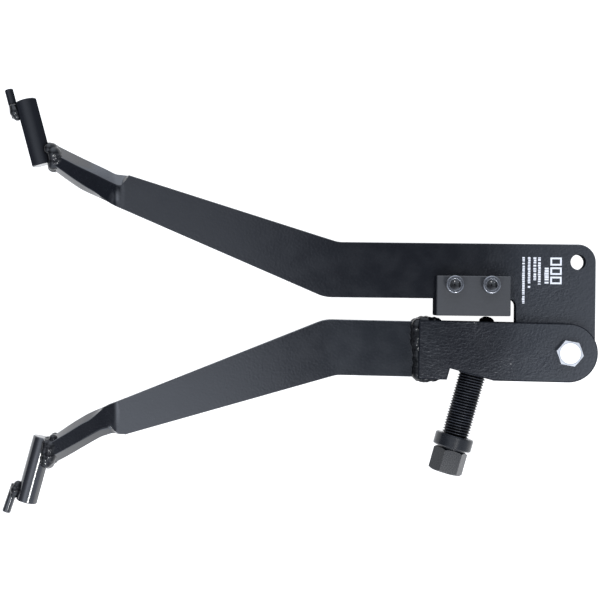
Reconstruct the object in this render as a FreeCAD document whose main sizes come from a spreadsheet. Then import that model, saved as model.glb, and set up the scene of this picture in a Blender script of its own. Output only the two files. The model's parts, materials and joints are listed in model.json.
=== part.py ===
import FreeCAD, Part
import os
import Sketcher
from FreeCAD import Vector

# Ball joint separator: two bent arms on one pivot, spread apart at their tips by a forcing spindle.
# The tool lies flat: +Z is the pivot direction, +X points from the tips to the pivot and +Y from the
# lower arm to the upper one.  The origin is the centre of the underside of its bounding box.
# Every size is a cell of the sheet "Size", in millimetres or degrees.

SIZES = {
    # longer than any piece, for cuts that go right through
    "through": 400.0,
    # pivot
    "pivot_x": 193.08,
    "pivot_y": -37.55,
    "pivot_z": 27.15,
    "pivot_radius": 5.5,
    "pivot_clearance": 0.05,
    # arms, measured in each arm's own frame: pivot at zero, straight part along -X
    "upper_tilt": -0.6,
    "lower_tilt": -1.35,
    "arm_half_width": 20.0,
    "upper_lift": 58.2,
    "upper_thickness": 9.7,
    "lower_thickness": 10.3,
    "outer_bend_x": 165.2,
    "inner_bend_x": 174.5,
    "outer_bend_radius": 20.0,
    "inner_bend_radius": 26.0,
    "blade_corner_x": 316.9,
    "blade_corner_y": 66.7,
    "blade_inner_slope": 22.95,
    "plate_edge": 0.4,
    # heel of the upper arm
    "heel_right": 21.0,
    "heel_left": 36.6,
    "heel_corner_radius": 12.8,
    "heel_hollow_radius": 5.0,
    "heel_round": 21.0,
    "heel_knee": 14.0,
    # six-sided shanks, forged from the flat blade end: root, neck and end are planes square to X
    "upper_root_x": 319.6,
    "lower_root_x": 322.4,
    "neck_x": 326.6,
    "neck_outer": 67.3,
    "neck_half_height": 5.6,
    "neck_inner_bevel": 0.5,
    "middle_x": 346.0,
    "middle_bulge": 1.3,
    "middle_swell": 0.8,
    "middle_half_height": 7.1,
    "middle_inner_bevel": 3.0,
    "end_x": 367.0,
    "upper_end_outer": 87.9,
    "lower_end_outer": 89.2,
    "end_inner": 67.4,
    "end_half_height": 8.2,
    "end_inner_bevel": 4.1,
    "upper_neck_bevel": 8.0,
    "lower_neck_bevel": 6.0,
    "upper_end_bevel": 8.3,
    "lower_end_bevel": 6.8,
    # tip bars and the pins beside them
    "bar_radius": 7.5,
    "bar_length": 48.5,
    "upper_bar_lean": 15.4,
    "lower_bar_lean": 13.8,
    "bar_chamfer": 0.6,
    "upper_bar_x": 379.8,
    "upper_bar_y": 73.7,
    "lower_bar_x": 376.2,
    "lower_bar_y": 70.2,
    "pin_radius": 3.0,
    "pin_length": 21.5,
    "pin_reach": 11.2,
    "pin_chamfer": 0.5,
    "upper_pin_offset": 10.3,
    "lower_pin_offset": 10.9,
    "upper_pin_drop": 2.4,
    "lower_pin_drop": 0.6,
    "upper_pin_lean": 0.0,
    "lower_pin_lean": 3.6,
    # clevis of the lower arm
    "cheek_half_width": 21.0,
    "cheek_thickness": 10.0,
    "cheek_left": 107.0,
    "cheek_edge": 0.7,
    "spacer_right": 44.0,
    "seat_depth": 43.4,
    "seat_left": 18.4,
    "seat_right": 30.0,
    # forcing spindle, measured back from the crown of the thrust piece along its axis
    "spindle_lean": 14.5,
    "spindle_lever": 60.1,
    "spindle_reach": 9.8,
    "thread_radius": 10.0,
    "thread_pitch": 2.0,
    "thread_depth": 1.227,
    "thread_foot_share": 0.44,
    "thread_crest_share": 0.06,
    "thread_sink": 0.05,
    "thread_bore_clearance": 0.08,
    "nose_start": 5.3,
    "nose_radius": 6.9,
    "thread_end": 85.0,
    "neck_radius": 8.3,
    "collar_start": 89.3,
    "collar_length": 9.3,
    "collar_radius": 14.0,
    "collar_chamfer": 0.8,
    "groove_length": 1.0,
    "groove_radius": 10.0,
    "drive_flats": 22.0,
    "drive_length": 17.4,
    "drive_turn": 5.0,
    "crown_radius": 9.0,
    "crown_flat": 3.4,
    "crown_width": 5.9,
    "crown_height": 5.0,
    "stem_radius": 4.0,
    "stem_end": 17.0,
    "stem_bore_end": 18.0,
    "stem_clearance": 0.05,
    # pressure block under the upper arm
    "block_left": 94.7,
    "block_right": 41.7,
    "block_bottom": 25.9,
    "block_top": 54.5,
    "block_half_depth": 15.0,
    "block_edge": 0.6,
    "block_gap": 0.1,
    "screw_spacing": 26.0,
    "screw_middle": 69.3,
    "screw_drop": 6.3,
    "screw_radius": 4.0,
    "screw_hole_radius": 4.25,
    "screw_tap_radius": 4.05,
    "screw_head_radius": 6.5,
    "screw_head_height": 8.0,
    "screw_socket_flats": 6.0,
    "screw_socket_depth": 4.4,
    "screw_length": 27.0,
    "screw_socket_turn": 12.0,
    "screw_chamfer": 0.8,
    # pivot bolt, washer and nut
    "bolt_flats": 17.0,
    "bolt_head_height": 6.4,
    "bolt_turn": -9.3,
    "bolt_thread_radius": 5.0,
    "bolt_tail": 12.0,
    "bolt_step": 0.5,
    "bolt_end_chamfer": 1.0,
    "washer_radius": 10.0,
    "washer_thickness": 2.0,
    "washer_clearance": 0.25,
    "nut_height": 8.0,
    "nut_turn": 10.7,
    "nut_clearance": 0.02,
    # weld beads
    "bead_leg": 5.0,
    "bead_height": 5.8,
    "bead_inset": 1.2,
    "lump_left": 108.5,
    "lump_right": 90.0,
    "lump_height": 2.5,
    "lump_half_depth": 9.0,
    "weld_reach": 3.0,
    "bar_weld_width": 8.0,
    "bar_weld_round": 2.4,
    "upper_weld_below": 5.5,
    "upper_weld_above": 14.8,
    "lower_weld_below": 2.6,
    "lower_weld_above": 20.0,
    "bar_weld_half_depth": 7.4,
    "pin_weld_width": 5.0,
    "pin_weld_start": 1.2,
    "pin_weld_length": 9.5,
    "pin_weld_half_depth": 4.6,
    "pin_weld_round": 1.6,
}

doc = FreeCAD.newDocument("BallJointSeparator")
sheet = doc.addObject("Spreadsheet::Sheet", "Size")
for row, (alias, value) in enumerate(SIZES.items(), start=1):
    sheet.set(f"A{row}", alias)
    sheet.set(f"B{row}", str(value))
    sheet.setAlias(f"B{row}", alias)
doc.recompute()

PIVOT = "vector(Size.pivot_x; Size.pivot_y; Size.pivot_z)"
UPPER_FRAME = f"placement({PIVOT}; rotation(vector(0; 0; 1); Size.upper_tilt))"
LOWER_FRAME = f"placement({PIVOT}; rotation(vector(0; 0; 1); Size.lower_tilt))"
# The spindle's own Z runs along the spindle towards the pressure block, with zero at the thrust crown.
SPINDLE_FRAME = (
    f"placement({PIVOT}; rotation(vector(0; 0; 1); Size.lower_tilt - Size.spindle_lean))"
    " * placement(vector(-Size.spindle_lever; Size.spindle_reach; 0); rotation(vector(1; 0; 0); -90))"
)

nodes = []


class Arm:
    """What differs between the two arms: side is the way outwards along Y."""

    def __init__(self, name, side, lift, frame):
        self.name = name
        self.side = side
        self.lift = lift
        self.frame = frame
        self.thickness = f"Size.{name}_thickness"

    def out(self, distance):
        """Y of a point at this distance outwards from the arm's centre-line."""
        return f"{self.side} * ({self.lift} + {distance})"


UPPER = Arm("upper", 1, "Size.upper_lift", UPPER_FRAME)
LOWER = Arm("lower", -1, "0", LOWER_FRAME)
CLEVIS_FACE = f"({LOWER.thickness} / 2 + Size.cheek_thickness)"


# ---------------------------------------------------------------- helpers


def finish(item, label, frame=None):
    """Name a sub-part and stand it in its frame."""
    item.Label = label
    if frame:
        item.setExpression("Placement", frame)
    nodes.append(item)
    return item


def new_body(label):
    """A body for the sub-part with this label, such as TipBar for tip_bar."""
    return doc.addObject("PartDesign::Body", label.title().replace("_", ""))


def plane_of(body, role):
    return next(f for f in body.Origin.OriginFeatures if f.Role == role)


def raised(height):
    """A placement that only lifts, along its own Z."""
    return f"placement(vector(0; 0; {height}); rotation(vector(0; 0; 1); 0))"


def sketch(body, role, offset=None):
    """An empty sketch on one of the body's origin planes, moved by an AttachmentOffset expression."""
    item = body.newObject("Sketcher::SketchObject", f"{body.Name}_sketch")
    item.AttachmentSupport = [(plane_of(body, role), "")]
    item.MapMode = "FlatFace"
    if offset:
        item.setExpression("AttachmentOffset", offset)
    return item


def bind(item, kind, first, start, second, end, expression):
    """Add one distance constraint and bind it to its expression."""
    index = item.addConstraint(Sketcher.Constraint(kind, first, start, second, end, 1.0))
    item.setExpression(f"Constraints[{index}]", expression)


def polygon(item, corners):
    """A closed outline of straight lines through corners given as pairs of expressions."""
    count = len(corners)
    base = item.GeometryCount
    spread = [
        FreeCAD.Rotation(Vector(0, 0, 1), 360.0 * k / count).multVec(Vector(20, 0, 0)) for k in range(count)
    ]
    for k in range(count):
        item.addGeometry(Part.LineSegment(spread[k], spread[(k + 1) % count]), False)
    for k in range(count):
        item.addConstraint(Sketcher.Constraint("Coincident", base + k, 2, base + (k + 1) % count, 1))
    for k, (across, up) in enumerate(corners):
        bind(item, "DistanceX", -1, 1, base + k, 1, across)
        bind(item, "DistanceY", -1, 1, base + k, 1, up)


def circle(item, across, up, radius):
    """A circle with its centre and radius given as expressions."""
    index = item.addGeometry(Part.Circle(Vector(3, 2, 0), Vector(0, 0, 1), 5.0), False)
    bind(item, "DistanceX", -1, 1, index, 3, across)
    bind(item, "DistanceY", -1, 1, index, 3, up)
    limit = item.addConstraint(Sketcher.Constraint("Radius", index, 5.0))
    item.setExpression(f"Constraints[{limit}]", radius)


def hexagon(item, flats, turn):
    """A regular hexagon about the sketch's origin; turn is the angle of one corner."""
    corner = f"({flats}) / sqrt(3)"
    angles = [f"({turn} + {60 * k})" for k in range(6)]
    polygon(item, [(f"{corner} * cos({a})", f"{corner} * sin({a})") for a in angles])


def feature(body, kind, profile, **bound):
    """A PartDesign feature on a profile, with bound properties given as expressions."""
    item = body.newObject(f"PartDesign::{kind}", f"{body.Name}_{kind.lower()}")
    item.Profile = profile
    for name, expression in bound.items():
        item.setExpression(name, expression)
    return item


def pad(body, profile, length, middle=True, backwards=False):
    item = feature(body, "Pad", profile, Length=length)
    item.Midplane = middle
    item.Reversed = backwards
    return item


def pocket(body, profile):
    """Cut a profile right through, both ways."""
    item = feature(body, "Pocket", profile, Length="Size.through")
    item.Midplane = True
    return item


def turned(body, kind, profile):
    """A Revolution or Groove of a profile about its sketch's own vertical axis."""
    item = feature(body, kind, profile)
    item.ReferenceAxis = (profile, ["V_Axis"])
    item.Angle = 360.0
    return item


def dress(body, kind, radius, wanted):
    """Fillet or chamfer the edges of the body's tip that the test picks."""
    doc.recompute()
    base = body.Tip
    names = [f"Edge{i}" for i, edge in enumerate(base.Shape.Edges, start=1) if wanted(edge)]
    item = body.newObject(f"PartDesign::{kind}", f"{body.Name}_{kind.lower()}")
    item.Base = (base, names)
    item.setExpression("Radius" if kind == "Fillet" else "Size", radius)
    return item


def size(expression):
    """The value of a cell."""
    return float(sheet.get(expression))


def upright_at(x, y):
    """Tests for a straight edge along Z through this point."""

    def test(edge):
        low, high = edge.Vertexes[0].Point, edge.Vertexes[-1].Point
        along = abs(low.x - high.x) < 0.01 and abs(low.y - high.y) < 0.01
        return along and abs(low.x - x) < 0.05 and abs(low.y - y) < 0.05 and abs(low.z - high.z) > 1.0

    return test


def on_face(height, skip=lambda point: False):
    """Tests for an edge that lies at this height above or below the middle plane."""

    def test(edge):
        points = [edge.valueAt(edge.FirstParameter), edge.valueAt(edge.LastParameter), edge.CenterOfMass]
        return all(abs(abs(p.z) - height) < 0.01 for p in points) and not skip(edge.CenterOfMass)

    return test


def hex_chamfer(body, flats, end, outward):
    """Turn the corners off one end of a hexagon: end is its height, outward the way out of it."""
    edge = sketch(body, "XZ_Plane")
    inner = f"({flats}) * 0.475"
    outer = f"({flats}) * 0.65"
    drop = f"({flats}) * 0.175 * tan(30)"
    polygon(
        edge,
        [
            (inner, f"{end} + {outward} * 0.01"),
            (outer, f"{end} + {outward} * 0.01"),
            (outer, f"{end} - {outward} * {drop}"),
        ],
    )
    turned(body, "Groove", edge)


# ---------------------------------------------------------------- arms


def inner_edge(across):
    """How far out the blade's inner edge is, this far along -X."""
    return f"(({across} - Size.inner_bend_x) * tan(Size.blade_inner_slope) - Size.arm_half_width)"


def blade_corners(arm):
    """The bent blade, from its inner bend round the tip end to its outer bend."""
    root = f"Size.{arm.name}_root_x"
    return [
        ("-Size.inner_bend_x", arm.out("-Size.arm_half_width")),
        (f"-{root}", arm.out(inner_edge(root))),
        (f"-{root}", arm.out("Size.blade_corner_y")),
        ("-Size.blade_corner_x", arm.out("Size.blade_corner_y")),
        ("-Size.outer_bend_x", arm.out("Size.arm_half_width")),
    ]


def round_bends(body, arm):
    """Fillet the two corners where the blade bends outwards."""
    lift = size("upper_lift") if arm is UPPER else 0.0
    half = size("arm_half_width")
    outer = upright_at(-size("outer_bend_x"), arm.side * (lift + half))
    inner = upright_at(-size("inner_bend_x"), arm.side * (lift - half))
    dress(body, "Fillet", "Size.outer_bend_radius", outer)
    dress(body, "Fillet", "Size.inner_bend_radius", inner)


def shank_section(body, arm, across, outer, inner, outer_bevel, inner_bevel, half_height):
    """A six-sided section square to X: a flat front and rear, and two bevels to each side edge."""
    section = sketch(body, "YZ_Plane", raised(f"-{across}"))
    sides = [
        (outer, "0"),
        (f"{outer} - {outer_bevel}", half_height),
        (f"{inner} + {inner_bevel}", half_height),
        (inner, "0"),
        (f"{inner} + {inner_bevel}", f"-{half_height}"),
        (f"{outer} - {outer_bevel}", f"-{half_height}"),
    ]
    polygon(section, [(arm.out(side), height) for side, height in sides])
    return section


def add_shank(body, arm):
    """The forged shank: the flat blade end drawn into a six-sided bar that thickens to its end."""
    root_x = f"Size.{arm.name}_root_x"
    edge = "Size.plate_edge"
    root = (root_x, "Size.blade_corner_y", inner_edge(root_x), edge, edge, f"({arm.thickness} / 2)")
    neck = (
        "Size.neck_x",
        "Size.neck_outer",
        inner_edge("Size.neck_x"),
        f"Size.{arm.name}_neck_bevel",
        "Size.neck_inner_bevel",
        "Size.neck_half_height",
    )
    end_outer = f"Size.{arm.name}_end_outer"
    middle = (
        "Size.middle_x",
        f"(Size.neck_outer + {end_outer}) / 2 + Size.middle_swell",
        f"({inner_edge('Size.neck_x')} + Size.end_inner) / 2 - Size.middle_bulge",
        f"(Size.{arm.name}_neck_bevel + Size.{arm.name}_end_bevel) / 2",
        "Size.middle_inner_bevel",
        "Size.middle_half_height",
    )
    end = (
        "Size.end_x",
        end_outer,
        "Size.end_inner",
        f"Size.{arm.name}_end_bevel",
        "Size.end_inner_bevel",
        "Size.end_half_height",
    )
    for stations in ((root, neck), (neck, middle, end)):
        sections = [shank_section(body, arm, *station) for station in stations]
        loft = feature(body, "AdditiveLoft", sections[0])
        loft.Sections = sections[1:]
        loft.Ruled = True


def upper_arm():
    body = new_body("upper_arm")
    outline = sketch(body, "XY_Plane")
    # the knee's line to the foot of the heel touches the round that is swept about the pivot
    foot_angle = "(atan2(Size.heel_knee; -Size.heel_left) + acos(Size.heel_round / Size.heel_reach))"
    foot = (f"Size.heel_round * cos({foot_angle})", f"Size.heel_round * sin({foot_angle})")
    polygon(
        outline,
        blade_corners(UPPER)
        + [
            ("Size.heel_right", UPPER.out("Size.arm_half_width")),
            ("Size.heel_right", "0"),
            ("0", "0"),
            foot,
            ("-Size.heel_left", "Size.heel_knee"),
            ("-Size.heel_left", UPPER.out("-Size.arm_half_width")),
        ],
    )
    pad(body, outline, UPPER.thickness)
    round_end = sketch(body, "XY_Plane")
    circle(round_end, "0", "0", "Size.heel_round")
    pad(body, round_end, UPPER.thickness)
    round_bends(body, UPPER)
    top = size("upper_lift") + size("arm_half_width")
    bottom = size("upper_lift") - size("arm_half_width")
    dress(body, "Fillet", "Size.heel_corner_radius", upright_at(size("heel_right"), top))
    dress(body, "Fillet", "Size.heel_hollow_radius", upright_at(-size("heel_left"), bottom))
    dress(body, "Chamfer", "Size.plate_edge", on_face(size("upper_thickness") / 2, near_blade_end))
    holes = sketch(body, "XY_Plane")
    bore = "Size.pivot_radius + Size.pivot_clearance"
    circle(holes, "0", "0", bore)
    corner_y = UPPER.out("Size.arm_half_width - Size.heel_corner_radius")
    circle(holes, "Size.heel_right - Size.heel_corner_radius", corner_y, bore)
    for way in (-1, 1):
        circle(holes, screw_x(way), "Size.block_top - Size.screw_drop", "Size.screw_hole_radius")
    pocket(body, holes)
    add_shank(body, UPPER)
    return finish(body, "upper_arm", UPPER_FRAME)


def near_blade_end(point):
    """True on the blade's end edge, which the shank covers."""
    return point.x < -size("blade_corner_x") - 0.1


def spindle_x(height):
    """X of the spindle's axis at this height in the lower arm's frame."""
    return f"(-Size.spindle_lever / cos(Size.spindle_lean) + ({height}) * tan(Size.spindle_lean))"


def cut_clevis(body):
    """The seat milled square to the spindle, and the spindle's hole through the clevis."""
    turn = "rotation(vector(0; 0; 1); -Size.spindle_lean)"
    seat = sketch(body, "XY_Plane", f"placement(vector(0; 0; 0); {turn})")
    left = "-Size.spindle_lever - Size.seat_left"
    right = "-Size.spindle_lever + Size.seat_right"
    level = "Size.spindle_reach - Size.seat_depth"
    polygon(seat, [(left, level), (right, level), (right, f"{level} - 30"), (left, f"{level} - 30")])
    pocket(body, seat)
    hole = sketch(body, "XY_Plane", f"placement(vector({spindle_x('0')}; 0; 0); {turn})")
    radius = "Size.thread_radius + Size.thread_bore_clearance"
    reach = "3 * Size.cheek_half_width"
    polygon(hole, [("0", f"-{reach}"), (radius, f"-{reach}"), (radius, reach), ("0", reach)])
    turned(body, "Groove", hole)


def lower_arm():
    body = new_body("lower_arm")
    outline = sketch(body, "XY_Plane")
    half = "Size.arm_half_width"
    polygon(
        outline,
        blade_corners(LOWER) + [(spindle_x(f"-{half}"), f"-{half}"), (spindle_x(half), half)],
    )
    pad(body, outline, LOWER.thickness)
    round_bends(body, LOWER)

    def hidden(point):
        return near_blade_end(point) or point.x > -size("cheek_left")

    dress(body, "Chamfer", "Size.plate_edge", on_face(size("lower_thickness") / 2, hidden))
    cut_clevis(body)
    add_shank(body, LOWER)
    return finish(body, "lower_arm", LOWER_FRAME)


# ---------------------------------------------------------------- clevis


def clevis_spacer():
    body = new_body("clevis_spacer")
    outline = sketch(body, "XY_Plane")
    half = "Size.arm_half_width"
    polygon(
        outline,
        [
            (spindle_x(f"-{half}"), f"-{half}"),
            ("-Size.spacer_right", f"-{half}"),
            ("-Size.spacer_right", half),
            (spindle_x(half), half),
        ],
    )
    pad(body, outline, LOWER.thickness)
    cut_clevis(body)
    return finish(body, "clevis_spacer", LOWER_FRAME)


def cheek(label, way):
    """One side plate of the clevis: way is +1 for the front one and -1 for the rear one."""
    body = new_body(label)
    middle = f"{way} * ({LOWER.thickness} + Size.cheek_thickness) / 2"
    outline = sketch(body, "XY_Plane", raised(middle))
    half = "Size.cheek_half_width"
    polygon(
        outline,
        [("-Size.cheek_left", f"-{half}"), ("0", f"-{half}"), ("0", half), ("-Size.cheek_left", half)],
    )
    pad(body, outline, "Size.cheek_thickness")
    round_end = sketch(body, "XY_Plane", raised(middle))
    circle(round_end, "0", "0", half)
    pad(body, round_end, "Size.cheek_thickness")
    hole = sketch(body, "XY_Plane")
    circle(hole, "0", "0", "Size.pivot_radius + Size.pivot_clearance")
    pocket(body, hole)
    cut_clevis(body)
    face = size("lower_thickness") / 2 + size("cheek_thickness")

    def bore_rim(point):
        return abs(point.x) < 1.0 and abs(point.y) < 1.0

    dress(body, "Chamfer", "Size.cheek_edge", on_face(face, bore_rim))
    return finish(body, label, LOWER_FRAME)


def cheek_bead(label, way):
    """The fillet weld along a cheek's end, on the lower arm's face."""
    body = new_body(label)
    profile = sketch(body, "XZ_Plane")
    foot = f"{way} * ({LOWER.thickness} / 2)"
    corners = [(0.0, 0.0), (1.0, 0.0), (0.84, 0.43), (0.48, 0.8), (0.0, 1.0)]
    polygon(
        profile,
        [
            (f"-Size.cheek_left - {leg} * Size.bead_leg", f"{foot} + {way} * {rise} * Size.bead_height")
            for leg, rise in corners
        ],
    )
    pad(body, profile, "2 * (Size.arm_half_width - Size.bead_inset)")
    return finish(body, label, LOWER_FRAME)


def edge_lump(label, way):
    """The weld across the clevis edge: it joins both cheeks to the edge of the lower arm."""
    body = new_body(label)
    middle = "-(Size.lump_left + Size.lump_right) / 2"
    profile = sketch(body, "YZ_Plane", raised(middle))
    seam = f"{LOWER.thickness} / 2"
    low, high = "Size.arm_half_width", "Size.cheek_half_width"
    crown = "(Size.cheek_half_width + Size.lump_height)"
    half = [
        (low, seam),
        (high, seam),
        (high, "Size.lump_half_depth"),
        (f"({high} + 0.7 * Size.lump_height)", "0.8 * Size.lump_half_depth"),
        (crown, "0.3 * Size.lump_half_depth"),
    ]
    mirrored = [(up, f"-({out})") for up, out in reversed(half)]
    polygon(profile, [(f"{way} * {up}", out) for up, out in half + mirrored])
    pad(body, profile, "Size.lump_left - Size.lump_right")
    return finish(body, label, LOWER_FRAME)


# ---------------------------------------------------------------- tips

# how far out along the bar the pin's inner end is
PIN_START = "Size.bar_length + Size.pin_reach - Size.pin_length"


def along_bar(arm, distance, offset, drop, lean="0"):
    """A placement in the arm's frame whose Z runs outwards along the tip bar.

    distance is measured from the bar's inner end, offset away from the blade and drop towards -Z.
    """
    lean_of_bar = f"Size.{arm.name}_bar_lean"
    turn = lean_of_bar if arm is UPPER else f"180 - {lean_of_bar}"
    start_y = arm.out(f"Size.{arm.name}_bar_y")
    start = f"placement(vector(-Size.{arm.name}_bar_x; {start_y}; 0); rotation(vector(0; 0; 1); {turn}))"
    away = -1 if arm is UPPER else 1
    aside = f"vector({away} * ({offset}); {distance}; -({drop}))"
    step = f"placement({aside}; rotation(vector(0; 0; 1); {away} * -1 * ({lean})))"
    upright = "placement(vector(0; 0; 0); rotation(vector(1; 0; 0); -90))"
    return f"{arm.frame} * {start} * {step} * {upright}"


def rod(label, radius, length, chamfer, frame):
    """A round rod with both ends chamfered, standing on the XY plane."""
    body = new_body(label)
    profile = sketch(body, "XZ_Plane")
    polygon(
        profile,
        [
            ("0", "0"),
            (f"{radius} - {chamfer}", "0"),
            (radius, chamfer),
            (radius, f"{length} - {chamfer}"),
            (f"{radius} - {chamfer}", length),
            ("0", length),
        ],
    )
    turned(body, "Revolution", profile)
    return finish(body, label, frame)


def tip_bar(arm):
    frame = along_bar(arm, "0", "0", "0")
    return rod(f"{arm.name}_tip_bar", "Size.bar_radius", "Size.bar_length", "Size.bar_chamfer", frame)


def tip_pin(arm):
    offset, drop, lean = (f"Size.{arm.name}_pin_{fact}" for fact in ("offset", "drop", "lean"))
    frame = along_bar(arm, PIN_START, offset, drop, lean)
    return rod(f"{arm.name}_tip_pin", "Size.pin_radius", "Size.pin_length", "Size.pin_chamfer", frame)


def lump(label, frame, sides, ends, half_depth, rounding, cutters):
    """A rounded weld deposit beside a tip bar, cut away where the welded pieces are.

    sides are its limits across the bar and ends its limits along it.
    """
    body = new_body(label)
    outline = sketch(body, "XZ_Plane")
    left, right = sides
    low, high = ends
    polygon(outline, [(left, low), (right, low), (right, high), (left, high)])
    pad(body, outline, f"2 * {half_depth}")
    dress(body, "Fillet", rounding, lambda edge: True)
    body.setExpression("Placement", frame)
    shape = body
    for index, cutter in enumerate(cutters):
        cut = doc.addObject("Part::Cut", f"{body.Name}_cut{index}")
        cut.Base = shape
        cut.Tool = cutter
        shape = cut
    return finish(shape, label)


def tip_welds(arm, arm_piece, bar, pin):
    """The weld that holds the bar to the shank's end, and the one that holds the pin to the bar."""
    way = 1 if arm is UPPER else -1
    lump(
        f"{arm.name}_bar_weld",
        along_bar(arm, "0", "0", "0"),
        [f"{way} * (Size.bar_radius {step})" for step in ("- Size.weld_reach", "+ Size.bar_weld_width")],
        [f"-Size.{arm.name}_weld_below", f"Size.{arm.name}_weld_above"],
        "Size.bar_weld_half_depth",
        "Size.bar_weld_round",
        [bar, arm_piece],
    )
    lump(
        f"{arm.name}_pin_weld",
        along_bar(arm, PIN_START, "0", "0"),
        [f"-{way} * (Size.bar_radius {step})" for step in ("- Size.weld_reach", "+ Size.pin_weld_width")],
        ["-Size.pin_weld_start", "Size.pin_weld_length"],
        "Size.pin_weld_half_depth",
        "Size.pin_weld_round",
        [bar, pin],
    )


# ---------------------------------------------------------------- spindle


def spindle():
    body = new_body("spindle_blank")
    profile = sketch(body, "XZ_Plane")
    root = "(Size.thread_radius - Size.thread_depth)"
    collar_end = "(Size.collar_start + Size.collar_length)"
    drive_start = f"({collar_end} + Size.groove_length)"
    polygon(
        profile,
        [
            ("0", "-Size.stem_bore_end"),
            ("Size.stem_radius + Size.stem_clearance", "-Size.stem_bore_end"),
            ("Size.stem_radius + Size.stem_clearance", "-Size.nose_start"),
            ("Size.nose_radius", "-Size.nose_start"),
            (root, f"-Size.nose_start - ({root} - Size.nose_radius)"),
            (root, "-Size.thread_end"),
            ("Size.neck_radius", "-Size.thread_end - 1"),
            ("Size.neck_radius", "-Size.collar_start"),
            ("Size.collar_radius - Size.collar_chamfer", "-Size.collar_start"),
            ("Size.collar_radius", "-Size.collar_start - Size.collar_chamfer"),
            ("Size.collar_radius", f"-{collar_end} + Size.collar_chamfer"),
            ("Size.collar_radius - Size.collar_chamfer", f"-{collar_end}"),
            ("Size.groove_radius", f"-{collar_end}"),
            ("Size.groove_radius", f"-{drive_start} - 1"),
            ("0", f"-{drive_start} - 1"),
        ],
    )
    turned(body, "Revolution", profile)
    drive = sketch(body, "XY_Plane", raised(f"-{drive_start}"))
    hexagon(drive, "Size.drive_flats", "Size.drive_turn")
    pad(body, drive, "Size.drive_length", middle=False, backwards=True)
    hex_chamfer(body, "Size.drive_flats", f"-{drive_start}", 1)
    hex_chamfer(body, "Size.drive_flats", f"(-{drive_start} - Size.drive_length)", -1)

    helix = doc.addObject("Part::Helix", "ThreadHelix")
    helix.setExpression("Pitch", "Size.thread_pitch")
    helix.setExpression("Height", "Size.thread_end - Size.nose_start - 3.5 * Size.thread_pitch")
    helix.setExpression("Radius", root)
    helix.setExpression("Placement", raised("-Size.thread_end + Size.thread_pitch"))
    ridge = doc.addObject("Sketcher::SketchObject", "ThreadRidge")
    stand = "placement(vector(0; 0; 0); rotation(vector(1; 0; 0); 90))"
    ridge.setExpression("Placement", f"{raised('-Size.thread_end + Size.thread_pitch')} * {stand}")
    foot = "Size.thread_foot_share * Size.thread_pitch"
    crest = "Size.thread_crest_share * Size.thread_pitch"
    sunk = f"{root} - Size.thread_sink"
    flank = [(sunk, foot), ("Size.thread_radius", crest)]
    polygon(ridge, [(out, f"-{up}") for out, up in flank] + flank[::-1])
    thread = doc.addObject("Part::Sweep", "Thread")
    thread.Sections = [ridge]
    thread.Spine = (helix, ["Edge1"])
    thread.Solid = True
    thread.Frenet = True
    threaded = doc.addObject("Part::Fuse", "Spindle")
    threaded.Base = body
    threaded.Tool = thread
    return finish(threaded, "spindle", SPINDLE_FRAME)


def thrust_piece():
    body = new_body("thrust_piece")
    profile = sketch(body, "XZ_Plane")
    brow = "(Size.crown_radius - sqrt(Size.crown_radius ^ 2 - Size.crown_flat ^ 2))"
    polygon(
        profile,
        [
            ("0", "0"),
            ("0", "-Size.stem_end"),
            ("Size.stem_radius", "-Size.stem_end"),
            ("Size.stem_radius", "-Size.crown_height"),
            ("Size.crown_width", "-Size.crown_height"),
            ("Size.crown_width", f"-{brow} - (Size.crown_width - Size.crown_flat)"),
            ("Size.crown_flat", f"-{brow}"),
            ("0.5 * Size.crown_flat", f"-{brow} / 4"),
        ],
    )
    turned(body, "Revolution", profile)
    return finish(body, "thrust_piece", SPINDLE_FRAME)


# ---------------------------------------------------------------- pressure block and fasteners


def screw_x(way):
    return f"(-Size.screw_middle + {way} * Size.screw_spacing / 2)"


def pressure_block():
    """A saddle astride the arm's edge: solid under the arm, with a wall on each side of it."""
    body = new_body("pressure_block")
    outline = sketch(body, "XY_Plane")
    left, right = "-Size.block_left", "-Size.block_right"
    low, high = "Size.block_bottom", "Size.block_top"
    polygon(outline, [(left, low), (right, low), (right, high), (left, high)])
    pad(body, outline, "2 * Size.block_half_depth")
    dress(body, "Chamfer", "Size.block_edge", lambda edge: True)
    slot = sketch(body, "XY_Plane")
    shelf = f"{UPPER.out('-Size.arm_half_width')} - Size.block_gap"
    polygon(
        slot,
        [
            (f"{left} - 5", shelf),
            (f"{right} + 5", shelf),
            (f"{right} + 5", f"{high} + 5"),
            (f"{left} - 5", f"{high} + 5"),
        ],
    )
    cut = feature(body, "Pocket", slot, Length=f"{UPPER.thickness} + 2 * Size.block_gap")
    cut.Midplane = True
    holes = sketch(body, "XY_Plane")
    for way in (-1, 1):
        circle(holes, screw_x(way), f"{high} - Size.screw_drop", "Size.screw_tap_radius")
    pocket(body, holes)
    return finish(body, "pressure_block", UPPER_FRAME)


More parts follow.
